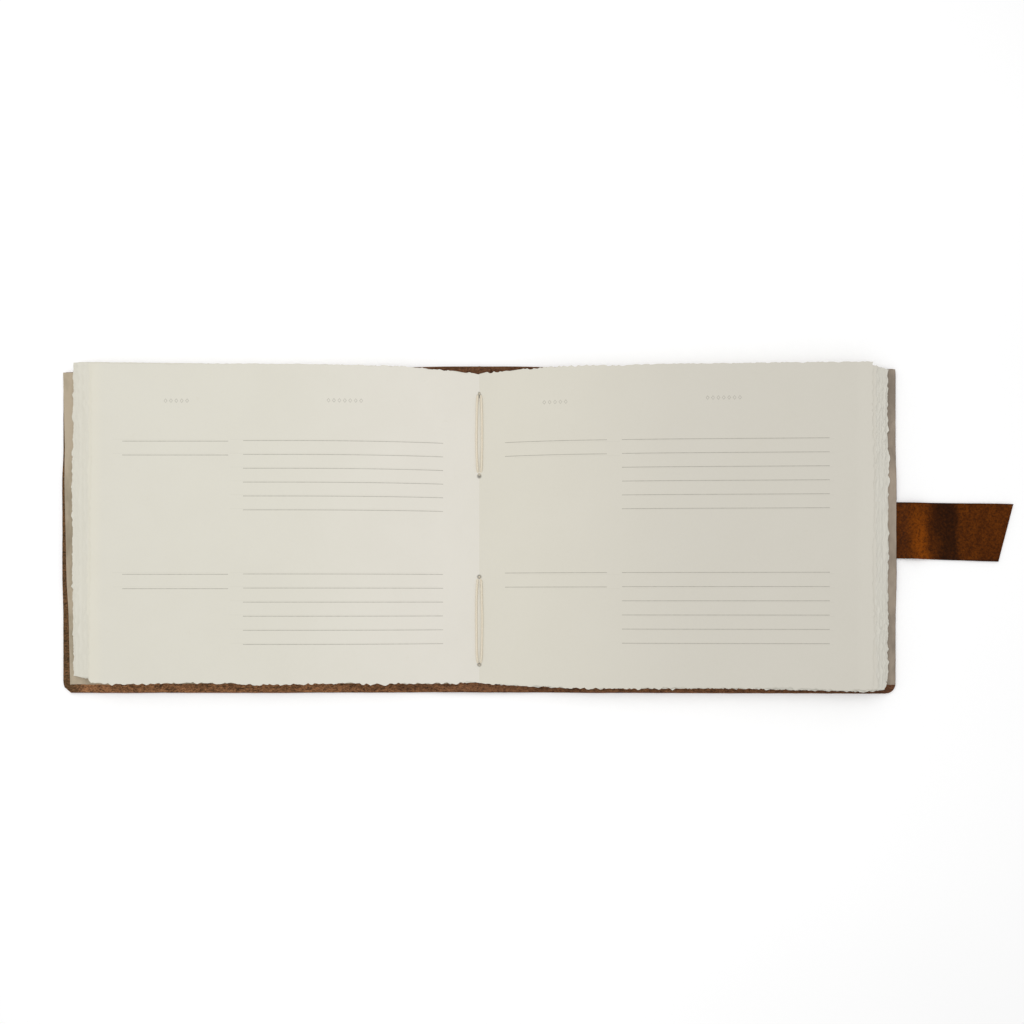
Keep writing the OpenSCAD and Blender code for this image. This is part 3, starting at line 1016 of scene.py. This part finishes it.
def fold_sheets(name, signature):
    """The folded inner edges of one signature's sheets, where they are sewn to the spine."""
    points, faces = [], []
    for folio in range(LEAVES_PER_LEVEL):
        path = fold_path(signature, folio)
        ys = steps((-93.6 + 0.3 * folio, 96.0 - 0.3 * folio, 8.0))
        base = len(points)
        for over in (0.5, -0.5):
            for n, (x, z) in enumerate(path):
                before, after = path[max(0, n - 1)], path[min(len(path) - 1, n + 1)]
                along = Vector((after[0] - before[0], after[1] - before[1])).normalized()
                for y in ys:
                    points.append(place(x - along.y * over * SHEET, y, z + along.x * over * SHEET))
        count = len(path) * len(ys)
        for n in range(len(path) - 1):
            for m in range(len(ys) - 1):
                a = base + n * len(ys) + m
                faces.append((a, a + 1, a + 1 + len(ys), a + len(ys)))
                b = a + count
                faces.append((b, b + len(ys), b + 1 + len(ys), b + 1))
        ring = ring_of_grid(len(path), len(ys))
        for n in range(len(ring)):
            a, b = base + ring[n], base + ring[(n + 1) % len(ring)]
            faces.append((a, b, b + count, a + count))
    made = mesh_object(name, points, faces, [LEAF_PAPER_WITH_PAINTED_SHADE[LEFT if signature < OPEN_AT else RIGHT]])
    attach(made, "spine")
    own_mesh(made)
    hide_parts(f"signature_{signature}_fold")


for signature in SIGNATURES:
    fold_sheets(f"fold_{signature}", signature)

# ---- sewing

STRAND_R, OPEN_STRAND_R = 0.57, 0.7
STITCH_STEPS = 56
STRAND_APART = 0.25


def stitch(x, from_y, to_y, base_z, spread, lift, dive):
    """Two strands that rise from one hole, bow apart and dive into the next hole."""
    routes = []
    for side in (LEFT, RIGHT):
        route = []
        for n in range(STITCH_STEPS + 1):
            t = n / STITCH_STEPS
            along = mix(from_y, to_y, t)
            up = smooth(t / 0.06) * smooth((1 - t) / 0.06)
            bow = (spread - STRAND_APART) * math.sin(math.pi * t) ** 0.3 if 0 < t < 1 else 0.0
            sway = 0.16 * wander(along / 12, side * 4, x)
            z = mix(base_z - dive, base_z + lift, up)
            route.append((x + side * (STRAND_APART + bow) + sway, along, z))
        routes.append(route)
    return routes


def sew_row(signature):
    """A signature's thread: two stitches in its fold, one outside, and a post through each hole."""
    row = row_x(signature)
    narrow = 0.62
    inner_z, wide, radius = INNER_Z + 0.45, narrow, STRAND_R
    if signature == OPEN_AT:
        inner_z, wide, radius = GUTTER_Z + 0.15, 1.72, OPEN_STRAND_R
    routes = stitch(row, STATIONS[0], STATIONS[1], inner_z, wide, radius - 0.22, 1.4)
    routes += stitch(row, STATIONS[2], STATIONS[3], inner_z, wide + 0.05, radius - 0.22, 1.4)
    outer_z = COVER_Z - 2 * STRAND_R + radius + 0.1
    routes += stitch(row, STATIONS[1], STATIONS[2], outer_z, narrow, 0.0, -1.0)
    for y in STATIONS:
        routes.append([(row, y, z) for z in steps((COVER_Z - 0.3, inner_z - 1.2, 0.6))])
    made = thread_object(f"thread_row_{signature}", routes, radius)
    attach(made, "spine")
    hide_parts(f"sewing_thread_{signature}")


for signature in SIGNATURES:
    sew_row(signature)


def kettle_link(left_x, y, bow):
    """A link between two rows of sewing, on the outer face of the spine."""
    link = []
    for m in range(13):
        t = m / 12
        dive = 0.9 * (1 - smooth(t / 0.15) * smooth((1 - t) / 0.15))
        aside = bow * math.sin(math.pi * t)
        link.append((left_x + ROW_PITCH * t, y + aside, COVER_Z - 0.45 + dive))
    return link


links = []
for y in (STATIONS[0], STATIONS[-1]):
    for signature in SIGNATURES[:-1]:
        links.append(kettle_link(row_x(signature), y, -0.5 if signature % 2 else 0.5))
kettle = thread_object("thread_links", links, STRAND_R)
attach(kettle, "spine")
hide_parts("kettle_stitches")

# ---- strap and keeper

anchor_low = edges("strap_anchor")[0]
wrap_low, wrap_high = edges("strap_wrap")
tab_low, tab_high = edges("strap_tab")
ANCHOR_X = anchor_low.x - GUTTER
WRAP_X, TAB_X = wrap_low.x - GUTTER, tab_low.x - GUTTER
TIP_X = tab_high.x - GUTTER
HALF_STRAP = tab_high.y
STRAP_T = wrap_high.z
TIP_SLANT = 9.4


def strap_crest(x):
    """How high the strap stands off the table where it leaves the cover."""
    return 2.1 * smooth((x - WRAP_X + 1.0) / 10) * smooth((WRAP_X + 24 - x) / 13)


def strap_grid(start, end):
    """The strap's (x, y) points in columns. It narrows and drops a little beyond the cover."""
    grid = []
    for x in steps((start, end, 1.5)):
        column = []
        for v in steps((-1.0, -0.96, 0.02), (-0.96, 0.96, 0.06), (0.96, 1.0, 0.02)):
            y = v * HALF_STRAP
            tip = (HALF_STRAP - y) / (2 * HALF_STRAP) * TIP_SLANT
            shift = (x - TAB_X) / (TIP_X - TAB_X)
            px = x - tip * shift if x > TAB_X else x
            beyond = max(0.0, px - COVER_REACH)
            py = y * (0.965 + 0.03 * smooth((beyond - 10) / 60)) + 0.35 - 0.022 * beyond
            py += 0.12 * wander(px / 14, v * 3)
            column.append((px, py))
        grid.append(column)
    return grid


def strap_top(x, y):
    return STRAP_T - 0.08 + strap_crest(x) + 0.07 * wander(x / 11, y / 15, 6)


def strap_bottom(x, y):
    return 0.25 + strap_crest(x) + 0.05 * wander(x / 11, y / 15, 6)


WRAP_MIDDLE = (WRAP_X + TAB_X) / 2 + 9
inner_strap = slab("strap_inner", strap_grid(ANCHOR_X, WRAP_MIDDLE), strap_top, strap_bottom, 0.35,
                   [STRAP], lambda x, y: x > WRAP_MIDDLE - 0.01)
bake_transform(inner_strap)
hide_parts("strap_anchor", "strap_wrap")
outer_strap = slab("strap_outer", strap_grid(WRAP_MIDDLE, TIP_X), strap_top, strap_bottom, 0.35,
                   [STRAP], lambda x, y: x < WRAP_MIDDLE + 0.01)
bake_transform(outer_strap)
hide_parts("strap_tab")

STITCH_PITCH = 5.0
STITCH_R = 0.34


def seam(name, lines, body, node):
    """Rows of separate slanted stitches on the outer face. A line is (x, y, x, y)."""
    routes = []
    for x0, y0, x1, y1 in lines:
        length = math.hypot(x1 - x0, y1 - y0)
        ux, uy = (x1 - x0) / length, (y1 - y0) / length
        for n in range(round(length / STITCH_PITCH)):
            route = []
            for m in range(9):
                t = m / 8
                s = (n + 0.08 + 0.84 * t) * STITCH_PITCH
                slant = 0.5 * (t - 0.5)
                z = STITCH_R + 0.02 + 0.6 * (1 - smooth(t / 0.2) * smooth((1 - t) / 0.2))
                route.append((x0 + ux * s - uy * slant, y0 + uy * s + ux * slant, z))
            routes.append(route)
    made = thread_object(name, routes, STITCH_R, 2, 1.6)
    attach(made, body)
    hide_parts(node)


SEAM_INSET, SEAM_LENGTH = 3.0, 50
seam_low, seam_high = ANCHOR_X + SEAM_INSET, ANCHOR_X + SEAM_INSET + SEAM_LENGTH
seam_y = HALF_STRAP - SEAM_INSET
strap_lines = [(seam_low, seam_y, seam_high, seam_y), (seam_low, -seam_y, seam_high, -seam_y)]
strap_lines.append((seam_low, -seam_y, seam_low, seam_y))
seam("stitches_strap", strap_lines, "back_cover", "strap_stitches")

keeper_low, keeper_high = edges("keeper_ends")
KEEPER_X = keeper_low.x - GUTTER
KEEPER_W = keeper_high.x - keeper_low.x
KEEPER_HALF = keeper_high.y


def keeper_half(name, side, node):
    """Half of the keeper: a flat slab from its end, on the cover, to its middle."""
    grid = []
    for v in steps((0.0, 12.0, 2.0), (12.0, KEEPER_HALF, 0.7)):
        row = []
        for u in steps((0.0, 1.2, 0.4), (1.2, KEEPER_W - 1.2, 1.3), (KEEPER_W - 1.2, KEEPER_W, 0.4)):
            row.append((KEEPER_X + u, side * v))
        grid.append(row)
    made = slab(name, grid, lambda x, y: STRAP_T - 0.06, lambda x, y: 0.27, 0.35, [GRAIN],
                lambda x, y: abs(y) < 0.01)
    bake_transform(made)
    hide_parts(node)


keeper_half("keeper_head_half", RIGHT, "keeper_ends")
keeper_half("keeper_tail_half", LEFT, "keeper_bridge")
keeper_y = KEEPER_HALF - 1.9
keeper_lines = [(KEEPER_X + 3, y, KEEPER_X + 13, y) for y in (keeper_y, -keeper_y)]
seam("stitches_keeper", keeper_lines, "front_cover", "keeper_stitches")

# ---- stage, light and camera


FLOOR_HALF = 3.0
WORLD_LIGHT = 0.74
KEY_AT, KEY_AIM = Vector((-0.16, 0.12, 0.9)), Vector((-0.04, 0.0, 0.0))
KEY_SIZE, KEY_POWER = 0.8, 3.9


def studio():
    """The floor, an even white world and one broad soft light, all in metres."""
    low, high = -FLOOR_HALF, FLOOR_HALF
    corners = [(low, low, 0.0), (high, low, 0.0), (high, high, 0.0), (low, high, 0.0)]
    floor = mesh_object("floor", corners, [(0, 1, 2, 3)], [FLOOR])
    world = bpy.data.worlds.new("studio")
    bpy.context.scene.world = world
    world.use_nodes = True
    background = world.node_tree.nodes["Background"]
    background.inputs["Color"].default_value = (1.0, 1.0, 1.0, 1.0)
    background.inputs["Strength"].default_value = WORLD_LIGHT
    light = bpy.data.lights.new("key", "AREA")
    light.size, light.energy = KEY_SIZE, KEY_POWER
    lamp = bpy.data.objects.new("key", light)
    lamp.location = KEY_AT
    lamp.rotation_euler = (KEY_AIM - KEY_AT).to_track_quat("-Z", "Y").to_euler()
    bpy.context.scene.collection.objects.link(lamp)
    bpy.context.scene.view_settings.view_transform = "Standard"


def camera():
    """Straight above the table, shifted as the photo is."""
    lens = bpy.data.cameras.new("camera")
    lens.sensor_width, lens.lens = 36.0, 32.55
    lens.shift_y = 0.0859
    lens.clip_start, lens.clip_end = 0.01, 20.0
    made = bpy.data.objects.new("camera", lens)
    made.location = place(CAMERA_X, CAMERA_Y, CAMERA_Z)
    bpy.context.scene.collection.objects.link(made)
    bpy.context.scene.camera = made


studio()
camera()
